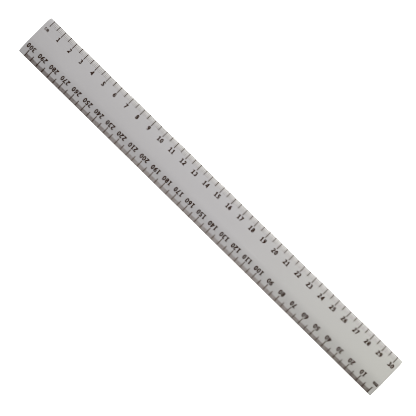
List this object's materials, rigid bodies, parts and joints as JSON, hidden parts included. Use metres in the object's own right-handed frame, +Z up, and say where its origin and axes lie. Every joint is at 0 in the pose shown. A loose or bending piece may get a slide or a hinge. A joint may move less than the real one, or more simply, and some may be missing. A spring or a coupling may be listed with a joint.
{
  "type": "straight ruler",
  "caption": "Flat moulded plastic ruler, bevelled along one edge, with a centimetre scale printed along its thick edge and a millimetre scale along its thin one.",
  "frame": {"origin": "centre of the flat underside, halfway along the blade and halfway across it", "axes": "+X along the blade towards the 30 cm end, +Y across it to the ruling edge of the centimetre scale, +Z up out of the printed face"},
  "size_m": [0.308, 0.0292, 0.0022],
  "materials": {
    "body_plastic": "satin moulded, light warm grey",
    "cm_scale_ink": "printed, brown-black",
    "mm_scale_ink": "printed, brown-black"
  },
  "bodies": {
    "root": {"body": "body_plastic", "cm_scale_centimetre_lines": "cm_scale_ink", "cm_scale_half_centimetre_lines": "cm_scale_ink", "cm_scale_millimetre_lines": "cm_scale_ink", "cm_scale_numerals": "cm_scale_ink", "cm_unit_letters": "cm_scale_ink", "mm_scale_ten_millimetre_lines": "mm_scale_ink", "mm_scale_five_millimetre_lines": "mm_scale_ink", "mm_scale_millimetre_lines": "mm_scale_ink", "mm_scale_half_millimetre_lines": "mm_scale_ink", "mm_scale_numerals": "mm_scale_ink", "mm_unit_letters": "mm_scale_ink"}
  },
  "joints": []
}
